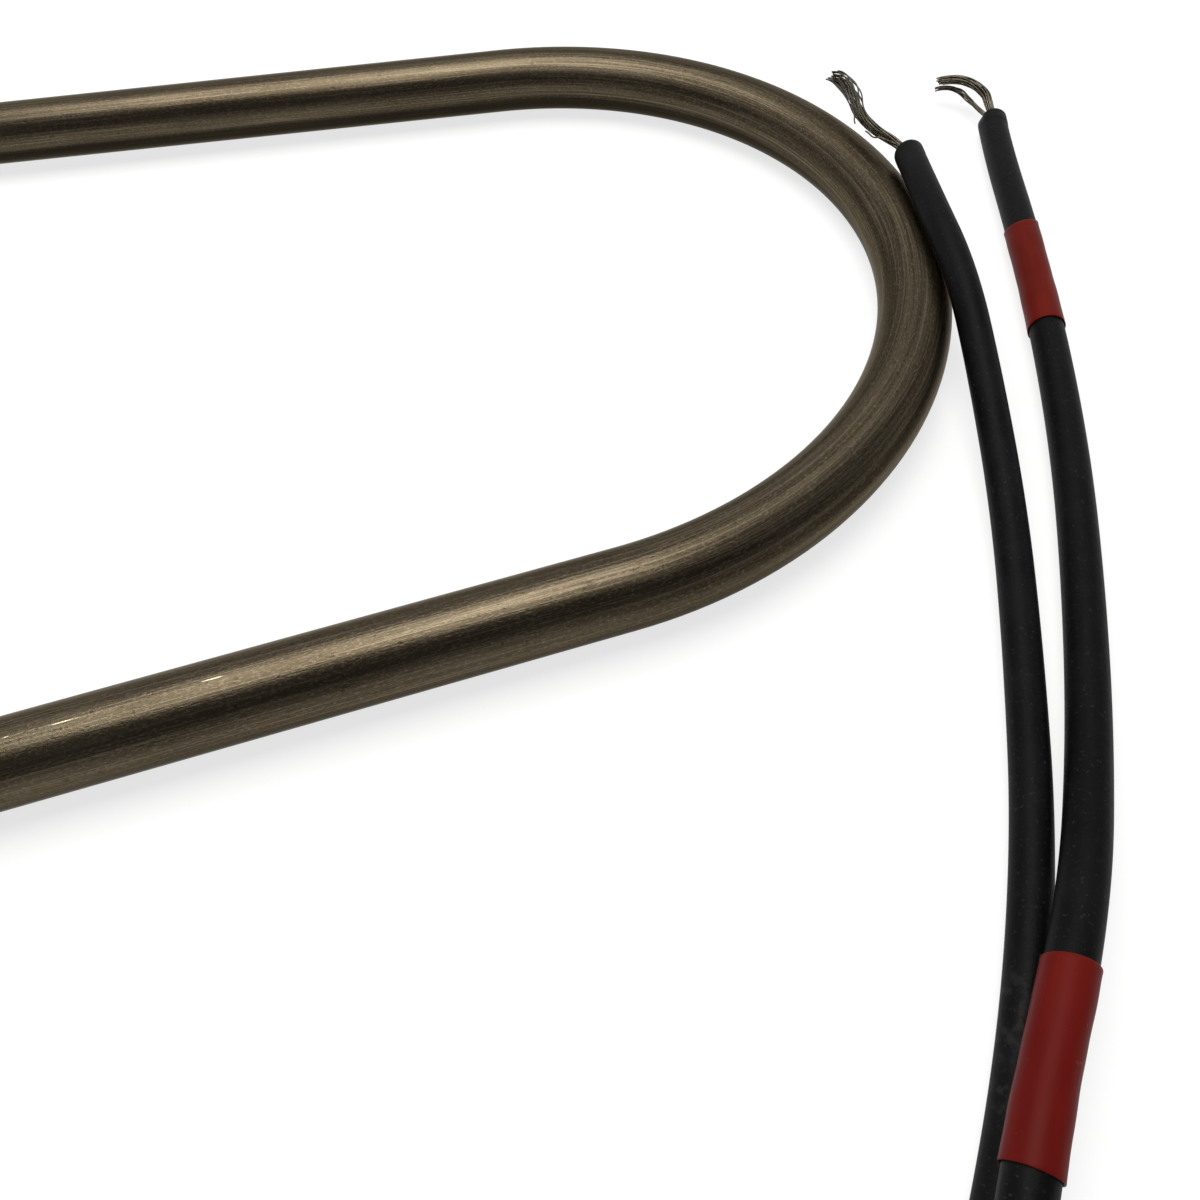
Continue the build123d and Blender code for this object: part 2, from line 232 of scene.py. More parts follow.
@dataclass(frozen=True)
class AnnealedSheath(Finish):
    """Drawn and annealed steel tube: draw lines, fine grain, blotches, nicks and bright scratches.

    The real draw lines and grain are about 0.05 mm, too fine to show, and are drawn coarser.
    """

    bright: str = "#867a67"
    streak: str = "#2f291f"
    scale: str = "#120f0b"
    # dark scale for pits and nicks, also the colour of the painted shade along the underside
    scratch: str = "#ead9b6"
    edge: str = "#d3cfc7"
    streak_mm: float = 0.8
    # middle and half length of the bend, in millimetres along the tube
    bend_run: tuple[float, float] = (322.0, 73.3)
    bend_blend: float = 12.0
    grain_mm: float = 0.17
    blotch_mm: float = 9.0
    draw_lines_mm: float = 0.2
    scratches: tuple[Point, ...] = ()
    scratch_narrow: float = 74.0
    nicks: tuple[Point, ...] = ()
    nick_narrow: float = 15.0

    def dress(self, tree: Tree, shader: Node, coords: Socket) -> None:
        """Links the annealed metal's patterns; see Finish.dress for the arguments."""
        node = partial(add, tree)
        lines = pattern(tree, coords, self.draw_lines_mm, 4, (160, 1, 1))
        streaks = pattern(tree, coords, self.streak_mm, 3, (70, 1, 1))
        grain = pattern(tree, coords, self.grain_mm, 3, (2.6, 1, 1))
        fleck = pattern(tree, coords, self.grain_mm * 0.6, 2, (1.8, 1, 1))
        pits = pattern(tree, coords, self.grain_mm * 3.2, 2, (1.6, 1, 1))
        blotch = pattern(tree, coords, self.blotch_mm, 4, (2.2, 1, 1))
        run = node(APART, coords)
        height = run.node.outputs["Z"]
        centre, half = self.bend_run
        off_middle = node("ABSOLUTE", node("SUBTRACT", run, centre))
        in_bend = node(STEP, off_middle, half + self.bend_blend, half - self.bend_blend)
        tone = self.tones(tree, blotch, 0.3, 0.7)
        # the draw lines stand out most where the tube was bent
        depth = node("MULTIPLY_ADD", in_bend, 0.42, 0.24)
        drawn = node("MULTIPLY", node(STEP, streaks, 0.42, 0.57), depth)
        tone = node(MIX, drawn, tone, linear(self.streak))
        for layer, low, high, most, colour in (
            (lines, 0.5, 0.62, 0.3, self.bright),
            (grain, 0.5, 0.68, 0.3, self.bright),
            (fleck, 0.48, 0.34, 0.36, self.streak),
        ):
            amount = node("MULTIPLY", node(STEP, layer, low, high), most)
            tone = node(MIX, amount, tone, linear(colour))
        # pits and nicks are dark scale; below its axis the tube is painted shade, darkened as if it
        # mirrored the shadow on the floor beneath it
        dark = node("MULTIPLY", node(STEP, pits, 0.6, 0.74), 0.32)
        nicks = self.spots(tree, coords, self.nicks, self.nick_narrow)
        # the second mask is painted shade: the tube's colour darkens below its axis
        for layer, most in ((nicks, 0.3), (node(STEP, height, 0.1, -1.3), 0.85)):
            dark = node("MAXIMUM", dark, node("MULTIPLY", layer, most))
        tone = node(MIX, dark, tone, linear(self.scale))
        marks = self.spots(tree, coords, self.scratches, self.scratch_narrow)
        broken = node(STEP, pattern(tree, coords, 0.5, 3, (2, 1, 1)), 0.36, 0.5)
        marks = node("MULTIPLY", marks, broken)
        tone = node(MIX, marks, tone, linear(self.scratch))
        tree.links.new(tone, shader.inputs["Base Color"])
        shader.inputs["Metallic"].default_value = 1.0
        shader.inputs["Specular Tint"].default_value = linear(self.edge)
        rough = node("MULTIPLY_ADD", grain, 0.16, self.roughness - 0.08)
        rough = node("MULTIPLY_ADD", in_bend, 0.08, rough)
        rough = node("MULTIPLY_ADD", marks, 0.1, rough, use_clamp=True)
        tree.links.new(rough, shader.inputs["Roughness"])
        lower = self.bump(tree, shader, lines, 0.014)
        middle = self.bump(tree, shader, grain, 0.015, lower)
        self.bump(tree, shader, node("SUBTRACT", 1.0, dark), 0.03, middle)

    @staticmethod
    def spots(tree: Tree, coords: Socket, places: Sequence[Point], narrow: float) -> Socket:
        """Masks long or short spots at given places on the tube.

        Args:
            tree (Tree): Tree of the material.
            coords (Socket): Coordinates in millimetres.
            places (Sequence): Distance along the tube, degrees round it and half length in millimetres.
            narrow (float): How narrow each spot is, as one over its half width in radians.

        Returns:
            Socket: One on a spot, zero elsewhere.
        """
        node = partial(add, tree)
        run, across, up = node(APART, coords).node.outputs
        angle = node("ARCTAN2", up, across)
        total = node("MULTIPLY", angle, 0.0)
        for along, turn, half in places:
            off_end = node("DIVIDE", node("SUBTRACT", run, along), half)
            off_turn = node("SUBTRACT", angle, math.radians(turn))
            off_side = node("MULTIPLY", off_turn, narrow)
            squares = [node("MULTIPLY", off, off) for off in (off_end, off_side)]
            away = node("SQRT", node("ADD", *squares))
            total = node("MAXIMUM", total, node(STEP, away, 1.0, 0.5))
        return total


@dataclass(frozen=True)
class Rubber(Finish):
    """Extruded or moulded rubber: matt, with talc specks, faint mottling and scuffed places.

    Talc is finer than 0.05 mm, too fine to show, and is drawn as specks of about 0.35 mm.
    """

    dust: str = "#3d3b38"
    speck_mm: float = 0.35
    skin_mm: float = 1.1
    mottle_mm: float = 6.0
    dusty: float = 0.35
    scuffs: tuple[Point, ...] = ()
    scuff_mm: float = 3.4
    worn: float = 0.28
    sheen: float = 0.06

    def dress(self, tree: Tree, shader: Node, coords: Socket) -> None:
        """Links the rubber's patterns; see Finish.dress for the arguments."""
        node = partial(add, tree)
        mottle = pattern(tree, coords, self.mottle_mm, 4)
        specks = pattern(tree, coords, self.speck_mm, 2)
        skin = pattern(tree, coords, self.skin_mm, 4)
        tone = self.tones(tree, mottle, 0.35, 0.68)
        amount = node("MULTIPLY", node(STEP, specks, 0.6, 0.78), self.dusty)
        for place in self.scuffs:
            away = node(VECTOR, "DISTANCE", coords, place)
            near = node(STEP, away, self.scuff_mm, self.scuff_mm * 0.3)
            rubbed = node("MULTIPLY", near, node(STEP, skin, 0.46, 0.66))
            amount = node("MAXIMUM", amount, node("MULTIPLY", rubbed, self.worn))
        tone = node(MIX, amount, tone, linear(self.dust))
        tree.links.new(tone, shader.inputs["Base Color"])
        rough = node("MULTIPLY_ADD", mottle, 0.18, self.roughness - 0.09)
        tree.links.new(rough, shader.inputs["Roughness"])
        shader.inputs["Specular IOR Level"].default_value = self.sheen
        lower = self.bump(tree, shader, skin, 0.05)
        self.bump(tree, shader, specks, 0.02, lower)


@dataclass(frozen=True)
class ShrinkSleeve(Finish):
    """Shrunk polyolefin sleeve: length-wise sheen, two close reds and tiny pimples.

    The real pimples are about 0.3 mm, too fine to show, and are drawn at 0.9 mm.
    """

    pimple: str = "#7c3226"
    pimple_mm: float = 0.9
    wave_mm: float = 1.6
    tone_mm: float = 4.0
    sheen: float = 0.05

    def dress(self, tree: Tree, shader: Node, coords: Socket) -> None:
        """Links the sleeve's patterns; see Finish.dress for the arguments."""
        node = partial(add, tree)
        broad = pattern(tree, coords, self.tone_mm, 3, (4, 1, 1))
        pimples = pattern(tree, coords, self.pimple_mm, 1)
        waves = pattern(tree, coords, self.wave_mm, 3, (6, 1, 1))
        tone = self.tones(tree, broad, 0.3, 0.7)
        amount = node("MULTIPLY", node(STEP, pimples, 0.74, 0.82), 0.3)
        tree.links.new(node(MIX, amount, tone, linear(self.pimple)), shader.inputs["Base Color"])
        rough = node("MULTIPLY_ADD", waves, 0.2, self.roughness - 0.1)
        tree.links.new(rough, shader.inputs["Roughness"])
        shader.inputs["Specular IOR Level"].default_value = self.sheen
        lower = self.bump(tree, shader, waves, 0.05)
        self.bump(tree, shader, node(STEP, pimples, 0.72, 0.82), 0.03, lower)


@dataclass(frozen=True)
class Grained(Finish):
    """A plain stuff of two tones with a fine relief: metal, ceramic, powder or resin.

    Its grain is drawn as coarse as it needs to show.
    """

    metallic: float = 0.0
    grain_mm: float = 0.5
    relief_mm: float = 0.01
    stretch: Point = (1, 1, 1)

    def dress(self, tree: Tree, shader: Node, coords: Socket) -> None:
        """Links the two tones and the relief; see Finish.dress for the arguments."""
        fine = pattern(tree, coords, self.grain_mm, 4, self.stretch)
        broad = pattern(tree, coords, self.grain_mm * 7, 3)
        halves = [add(tree, "MULTIPLY", layer, 0.5) for layer in (fine, broad)]
        tone = self.tones(tree, add(tree, "ADD", *halves), 0.36, 0.64)
        tree.links.new(tone, shader.inputs["Base Color"])
        shader.inputs["Metallic"].default_value = self.metallic
        rough = add(tree, "MULTIPLY_ADD", fine, 0.16, self.roughness - 0.08)
        tree.links.new(rough, shader.inputs["Roughness"])
        self.bump(tree, shader, fine, self.relief_mm)


# ---- meshes ----
def finished(obj: Piece, nodes: Sequence[str] = (), material: Material | None = None) -> Piece:
    """Puts a piece on the object: it rides on the body and what it stands for.

    Args:
        obj (Piece): The piece.
        nodes (Sequence[str]): CAD nodes that the piece replaces.
        material (Material | None): Material to give it, if it has none yet.

    Returns:
        Piece: The same piece.
    """
    if material is not None:
        obj.data.materials.clear()
        obj.data.materials.append(material)
    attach(obj, "root")
    if nodes:
        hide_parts(*nodes)
    return obj


def grown(tree: Tree, name: str, values: dict[str, object]) -> Piece:
    """Evaluates a geometry tree once and keeps the result as a plain mesh.

    Args:
        tree (Tree): Geometry tree.
        name (str): Name of the piece.
        values (dict): Group input name to value.

    Returns:
        Piece: A new object that holds the finished mesh.
    """
    holder = placed(name + "_seed", bpy.data.meshes.new(name + "_seed"))
    modifier = holder.modifiers.new("grow", "NODES")
    modifier.node_group = tree
    names = {item.name: item.identifier for item in tree.interface.items_tree if item.in_out == "INPUT"}
    for label, value in values.items():
        modifier[names[label]] = value
    holder.update_tag()
    bpy.context.view_layer.update()
    graph = bpy.context.evaluated_depsgraph_get()
    mesh = bpy.data.meshes.new_from_object(holder.evaluated_get(graph))
    mesh.name = name
    holder.modifiers.clear()
    bpy.data.objects.remove(holder)
    return placed(name, mesh)


def group(name: str, inputs: dict[str, Sequence[str]]) -> tuple[Tree, dict[str, Socket]]:
    """Starts a geometry tree with named inputs and one geometry output.

    Args:
        name (str): Name of the tree.
        inputs (dict): Kind of socket, such as "Float", to the names of the inputs of that kind.

    Returns:
        tuple: The tree, and a dict from input name to its socket inside the tree.
    """
    tree = bpy.data.node_groups.new(name, "GeometryNodeTree")
    for kind, labels in inputs.items():
        for label in labels:
            tree.interface.new_socket(label, in_out="INPUT", socket_type=f"NodeSocket{kind}")
    tree.interface.new_socket("Geometry", in_out="OUTPUT", socket_type="NodeSocketGeometry")
    entry = add(tree, "NodeGroupInput").node
    return tree, {label: entry.outputs[label] for labels in inputs.values() for label in labels}


def close_group(tree: Tree, geometry: Socket, material: Socket) -> None:
    """Ends a geometry tree: shaded smooth, instances made real, its material set.

    Args:
        tree (Tree): Geometry tree.
        geometry (Socket): What the tree has made.
        material (Socket): Material input.
    """
    shaded = add(tree, "GeometryNodeSetShadeSmooth", {"Geometry": geometry, "Shade Smooth": True})
    real = add(tree, "GeometryNodeRealizeInstances", {"Geometry": shaded})
    dressed = add(tree, "GeometryNodeSetMaterial", {"Geometry": real, "Material": material})
    leave = tree.nodes.new("NodeGroupOutput")
    tree.links.new(dressed, leave.inputs[0])


@dataclass
class Centreline:
    """A smooth line through close points in metres, to lay turned profiles along."""

    points: list[Vector]

    def __post_init__(self) -> None:
        """Adds up the length and carries one frame along the line."""
        self.reach = [0.0]
        for before, after in zip(self.points, self.points[1:]):
            self.reach.append(self.reach[-1] + (after - before).length)
        ahead = (self.points[1] - self.points[0]).normalized()
        self.up = [(Vector((0, 0, 1)) - ahead * ahead.z).normalized()]
        self.ahead = [ahead]
        for i in range(1, len(self.points)):
            after = self.points[min(i + 1, len(self.points) - 1)]
            ahead = (after - self.points[i - 1]).normalized()
            carried = self.up[-1] - ahead * self.up[-1].dot(ahead)
            self.up.append(carried.normalized())
            self.ahead.append(ahead)

    @classmethod
    def of_spline(cls, curve: Piece) -> "Centreline":
        """Reads the line of a spline that has no bevel.

        Args:
            curve (Piece): Curve object with one spline.

        Returns:
            Centreline: Its evaluated line.
        """
        graph = bpy.context.evaluated_depsgraph_get()
        mesh = bpy.data.meshes.new_from_object(curve.evaluated_get(graph))
        line = cls([vertex.co.copy() for vertex in mesh.vertices])
        bpy.data.meshes.remove(mesh)
        return line

    @property
    def length(self) -> float:
        """Length of the whole line in metres."""
        return self.reach[-1]

    def at(self, distance: float) -> tuple[Vector, Vector, Vector]:
        """Place, direction and upward normal at a distance from the start.

        Args:
            distance (float): Distance in metres, also a little beyond the ends.

        Returns:
            tuple: Point, direction and normal.
        """
        i = 0
        while i < len(self.reach) - 2 and self.reach[i + 1] < distance:
            i += 1
        span = max(self.reach[i + 1] - self.reach[i], 1e-9)
        share = (distance - self.reach[i]) / span
        point = self.points[i].lerp(self.points[i + 1], share)
        held = min(max(share, 0.0), 1.0)
        ahead = self.ahead[i].lerp(self.ahead[i + 1], held).normalized()
        up = self.up[i].lerp(self.up[i + 1], held)
        return point, ahead, (up - ahead * up.dot(ahead)).normalized()


def turned(
    name: str,
    line: Centreline,
    profile: Sequence[tuple[float, float]],
    sides: int = 48,
    relief: Callable[[float, float], float] | None = None,
    skew: Callable[[float, float], float] | None = None,
) -> Piece:
    """Turns a closed profile round a line, as a shell with no open edge.

    Args:
        name (str): Name of the piece.
        line (Centreline): Line that the profile follows.
        profile (Sequence): Distance along the line and radius of each ring, in millimetres.
        sides (int): Facets round the line.
        relief (Callable | None): Extra radius in millimetres for a distance and an angle.
        skew (Callable | None): Extra distance along the line for a distance and an angle.

    Returns:
        Piece: The new piece, with its unrolled place in the attribute "laid".
    """
    vertices, laid = [], []
    for station, radius in profile:
        point, ahead, up = line.at(station * MM)
        side = ahead.cross(up)
        for k in range(sides):
            angle = 2 * math.pi * k / sides
            reach = radius + (relief(station, angle) if relief else 0.0)
            out = up * math.cos(angle) + side * math.sin(angle)
            slid = ahead * (skew(station, angle) if skew else 0.0)
            vertices.append(point + (out * reach + slid) * MM)
            laid.append((station, reach * math.cos(angle), reach * math.sin(angle)))
    rings = len(profile)
    faces = []
    for i in range(rings):
        after = (i + 1) % rings
        for k in range(sides):
            turn = (k + 1) % sides
            faces.append((i * sides + k, i * sides + turn, after * sides + turn, after * sides + k))
    mesh = bpy.data.meshes.new(name)
    mesh.from_pydata([tuple(v) for v in vertices], [], faces)
    attribute = mesh.attributes.new("laid", "FLOAT_VECTOR", "POINT")
    attribute.data.foreach_set("vector", [value for place in laid for value in place])
    mesh.polygons.foreach_set("use_smooth", [True] * len(mesh.polygons))
    mesh.update()
    return placed(name, mesh)


# ---- pieces of the heater ----
@dataclass(frozen=True)
class Hairpin:
    """Sizes of the bent tube, in millimetres and degrees, in the frame of the CAD model."""

    bend_centre: Point = (112.0, 0.0, 4.5542)
    bend_radius: float = 50.0
    leg_length: float = 248.68
    spread: float = 6.0
    tube_radius: float = 4.25
    wall: float = 0.7
    tilt: float = 0.34858


@dataclass
class Sheath:
    """The drawn hairpin tube."""

    size: Hairpin
    finish: AnnealedSheath
    steps: int = 420
    sides: int = 72
    seam: float = 0.002

    def tree(self) -> Tree:
        """Builds the geometry tree: a closed tube wall along leg, bend and leg.

        Returns:
            Tree: The tree.
        """
        tree, value = group("hairpin_tube", {
            "Float": ("Leg Length", "Bend Radius", "Spread", "Tube Radius", "Wall", "Tilt"),
            "Vector": ("Bend Centre",),
            "Int": ("Steps", "Sides"),
            "Material": ("Material",),
        })
        node = partial(add, tree)
        steps, sides, spread = value["Steps"], value["Sides"], value["Spread"]
        leg, bend = value["Leg Length"], value["Bend Radius"]
        rows = node("MULTIPLY_ADD", steps, 2.0, 2.0)
        row_count, side_count = (node("ADD", count, 1.0) for count in (rows, sides))
        sheet = node("GeometryNodeMeshGrid", rows, sides, row_count, side_count)
        x, y, _ = node(APART, node("GeometryNodeInputPosition")).node.outputs
        row = node("ROUND", node("MULTIPLY_ADD", rows, 0.5, x))
        angle = node("MULTIPLY", node("DIVIDE", y, sides), 2 * math.pi)
        # rows run out along the outside and come back along the bore; the last row meets the first
        row = node("MODULO", row, rows)
        inside = node("GREATER_THAN", row, node("ADD", steps, 0.5))
        back_row = node("SUBTRACT", node("SUBTRACT", rows, 1.0), row)
        back = node("MULTIPLY", inside, back_row)
        out = node("MULTIPLY", node("SUBTRACT", 1.0, inside), row)
        step = node("ADD", back, out)
        thinner = node("MULTIPLY", inside, value["Wall"])
        radius = node("SUBTRACT", value["Tube Radius"], thinner)
        arc = node("SUBTRACT", math.pi, node("MULTIPLY", spread, 2.0))
        bend_run = node("MULTIPLY", arc, bend)
        whole = node("MULTIPLY_ADD", leg, 2.0, bend_run)
        run = node("MULTIPLY", node("DIVIDE", step, steps), whole)
        past = node("SUBTRACT", run, leg)
        on_bend = node("MINIMUM", node("MAXIMUM", past, 0.0), bend_run)
        straight = node("SUBTRACT", past, on_bend)
        swung = node("DIVIDE", on_bend, bend)
        turn = node("SUBTRACT", node("SUBTRACT", math.pi / 2, spread), swung)
        cosine, sine = (node(wave, turn) for wave in ("COSINE", "SINE"))
        outward = node(XYZ, cosine, sine, 0.0)
        forward = node(XYZ, sine, node("MULTIPLY", cosine, -1.0), 0.0)
        sideways, upwards = (
            node("MULTIPLY", radius, node(wave, angle)) for wave in ("COSINE", "SINE")
        )
        reach = node("ADD", bend, sideways)
        moves = [node(VECTOR, "SCALE", *move) for move in ((outward, reach), (forward, straight))]
        spot = node(VECTOR, "ADD", node(VECTOR, "ADD", *moves), node(XYZ, {"Z": upwards}))
        laid = node(VECTOR, "SCALE", node(XYZ, run, sideways, upwards), 1 / MM)
        kept = add(
            tree, "GeometryNodeStoreNamedAttribute", {"Geometry": sheet, "Name": "laid", "Value": laid},
            data_type="FLOAT_VECTOR", domain="POINT",
        )
        bent = node("GeometryNodeSetPosition", {"Geometry": kept, "Position": spot})
        closed = node("GeometryNodeMergeByDistance", {"Geometry": bent, "Distance": self.seam * MM})
        lie = {"Translation": value["Bend Centre"], "Rotation": node(XYZ, {"Y": value["Tilt"]})}
        laid_down = node("GeometryNodeTransform", {"Geometry": closed, **lie})
        # the rows above wind inwards, so the faces are turned to look out
        close_group(tree, node("GeometryNodeFlipFaces", {"Mesh": laid_down}), value["Material"])
        return tree

    def build(self) -> list[Piece]:
        """Grows the tube and dresses it.

        Returns:
            list[Piece]: The tube.
        """
        size = self.size
        made = grown(self.tree(), "hairpin_sheath", {
            "Leg Length": size.leg_length * MM, "Bend Radius": size.bend_radius * MM,
            "Tube Radius": size.tube_radius * MM, "Wall": size.wall * MM,
            "Spread": math.radians(size.spread), "Tilt": math.radians(size.tilt),
            "Bend Centre": tuple(Vector(size.bend_centre) * MM), "Steps": self.steps,
            "Sides": self.sides, "Material": self.finish.material(),
        })
        return [finished(made, ["sheath_tube"])]


@dataclass
class StrandBundle:
    """Bare strands that leave a cut lead as a twisted bundle and fray apart."""

    side: Side
    lines: tuple[tuple[Point, ...], ...]
    finish: Grained
    inner_strands: int = 6
    outer_strands: int = 0
    strays: tuple[tuple[Point, ...], ...] = ()
    strand_radius: float = 0.1
    pitch: float = 0.25
    twist: float = 3.0
    fray: float = 0.45
    stray: float = 0.75
    seed: int = 3
    sides: int = 8
    joints: int = 56
    cut_spread: float = 0.07

    def tree(self) -> Tree:
        """Builds the geometry tree: rings of strands carried along a line.

        Returns:
            Tree: The tree.
        """
        tree, value = group(f"frayed_bundle_{self.side.value}", {
            "Object": ("Line",),
            "Float": ("Strand Radius", "Pitch", "Twist", "Fray", "Stray"),
            "Int": ("Inner Strands", "Outer Strands", "Seed"),
            "Material": ("Material",),
        })
        node = partial(add, tree)
        pitch = value["Pitch"]
        inner = node("GeometryNodeMeshCircle", value["Inner Strands"], pitch)
        outer = node("GeometryNodeMeshCircle", value["Outer Strands"], node("MULTIPLY", pitch, 2.0))
        rings = node("GeometryNodeJoinGeometry")
        for ring in (node("GeometryNodeMeshLine", {"Count": 1}), inner, outer):
            tree.links.new(ring, rings.node.inputs[0])
        ends = {"Start": (0.0, 0.0, 0.0), "End": (0.0, 0.0, 1.0)}
        stalk = node("GeometryNodeCurvePrimitiveLine", ends)
        fine = node("GeometryNodeResampleCurve", {"Curve": stalk, "Count": self.joints})
        spread = node("GeometryNodeInstanceOnPoints", {"Points": rings, "Instance": fine})
        chance = node("FunctionNodeRandomValue", {"Seed": value["Seed"]}, data_type="FLOAT")
        lots = add(
            tree, "GeometryNodeStoreNamedAttribute", {"Geometry": spread, "Name": "lot", "Value": chance},
            data_type="FLOAT", domain="INSTANCE",
        )
        real = node("GeometryNodeRealizeInstances", {"Geometry": lots})
        lot = node("GeometryNodeInputNamedAttribute", {"Name": "lot"}, data_type="FLOAT")
        x, y, height = node(APART, node("GeometryNodeInputPosition")).node.outputs
        # each strand is cut at a length of its own
        own = node("SUBTRACT", 1.0, node("MULTIPLY", lot, self.cut_spread))
        share = node("MULTIPLY", height, own)
        line = node("GeometryNodeObjectInfo", {"Object": value["Line"]}).node.outputs["Geometry"]
        on_line = {"Curves": line, "Factor": share}
        sample = node("GeometryNodeSampleCurve", on_line, mode="FACTOR").node.outputs
        across = node(VECTOR, "CROSS_PRODUCT", sample["Tangent"], sample["Normal"])
        turn = node("MULTIPLY", share, value["Twist"])
        cosine, sine = (node(wave, turn) for wave in ("COSINE", "SINE"))
        terms = [node("MULTIPLY", *pair) for pair in ((x, cosine), (y, sine), (x, sine), (y, cosine))]
        sideways = node("SUBTRACT", *terms[:2])
        upwards = node("ADD", *terms[2:])
        # loose in the middle of the free length, gathered again at the tip
        rise = node("MULTIPLY", node("POWER", share, 1.4), 2.9)
        belly = node("SINE", rise)
        loose = node("MULTIPLY", belly, value["Fray"])
        loose = node("MULTIPLY", loose, node("ADD", lot, 0.3))
        open_up = node("ADD", loose, 1.0)
        moves = [
            node(VECTOR, "SCALE", way, node("MULTIPLY", off, open_up))
            for way, off in ((sample["Normal"], sideways), (across, upwards))
        ]
        # every strand waves along a track of its own through the noise
        track = [node("MULTIPLY", share, 3.0), node("MULTIPLY", lot, 40.0)]
        noise = {"Vector": node(XYZ, *track), "Scale": 1.0, "Detail": 1.0}
        wave = node("ShaderNodeTexNoise", noise).node.outputs["Color"]
        wander = node(VECTOR, "SUBTRACT", wave, (0.5, 0.5, 0.5))
        free = node("MULTIPLY", node("ADD", belly, 0.15), value["Stray"])
        wander = node(VECTOR, "MULTIPLY", node(VECTOR, "SCALE", wander, free), (MM, MM, MM))
        moved = node(VECTOR, "ADD", node(VECTOR, "ADD", *moves), wander)
        spot = node(VECTOR, "ADD", sample["Position"], moved)
        laid = node("GeometryNodeSetPosition", {"Geometry": real, "Position": spot})
        section = {"Resolution": self.sides, "Radius": value["Strand Radius"]}
        wire = node("GeometryNodeCurvePrimitiveCircle", section)
        sockets = {"Curve": laid, "Profile Curve": wire, "Fill Caps": True}
        close_group(tree, node("GeometryNodeCurveToMesh", sockets), value["Material"])
        return tree

    def build(self) -> list[Piece]:
        """Grows every strand group and stray of the bundle, and dresses it.

        Returns:
            list[Piece]: The finished pieces; the first stands for the CAD bundle.
        """
        tree, material = self.tree(), self.finish.material()
        groups = []
        for number, line in enumerate(self.lines + self.strays):
            label = f"{self.side.value}_{number + 1}"
            guide = spline(f"strand_line_{label}", line)
            made = grown(tree, f"frayed_strands_{label}", {
                "Line": guide, "Strand Radius": self.strand_radius * MM, "Pitch": self.pitch * MM,
                "Inner Strands": self.inner_strands if number < len(self.lines) else 0,
                "Outer Strands": self.outer_strands if number == 0 else 0,
                "Twist": self.twist, "Fray": self.fray, "Stray": self.stray,
                "Seed": self.seed + number, "Material": material,
            })
            bpy.data.objects.remove(guide)
            nodes = [] if groups else [f"bare_strands_{self.side.value}"]
            groups.append(finished(made, nodes))
        return groups


def spline(name: str, points: Sequence[Point], radius: float = 0.0) -> Piece:
    """A smooth open curve with these control points.

    Args:
        name (str): Name of the curve.
        points (Sequence[Point]): Control points in millimetres.
        radius (float): Radius of its round section in millimetres, or zero for a bare line.

    Returns:
        Piece: The new curve object.
    """
    curve = bpy.data.curves.new(name, "CURVE")
    curve.dimensions = "3D"
    curve.resolution_u = 24
    curve.bevel_depth = radius * MM
    curve.bevel_resolution = 8
    curve.use_fill_caps = True
    line = curve.splines.new("NURBS")
    line.points.add(len(points) - 1)
    for knot, place in zip(line.points, points):
        knot.co = (*(value * MM for value in place), 1.0)
    line.order_u = 3
    line.use_endpoint_u = True
    line.use_smooth = True
    made = placed(name, curve)
    bpy.context.view_layer.update()
    return made


@dataclass
class SleeveSize:
    """A marker sleeve: distances in millimetres back from the lead's cut end."""

    name: str
    node: str
    start: float
    length: float
    finish: ShrinkSleeve
    radius: float = 2.06
    bore: float = 1.97
    lip: float = 0.05
    lip_run: float = 0.9
    lip_round: float = 0.04
    loose: float = 0.02
    slant: float = 0.0
    nod: float = 0.0
    rings: int = 40
    sides: int = 64


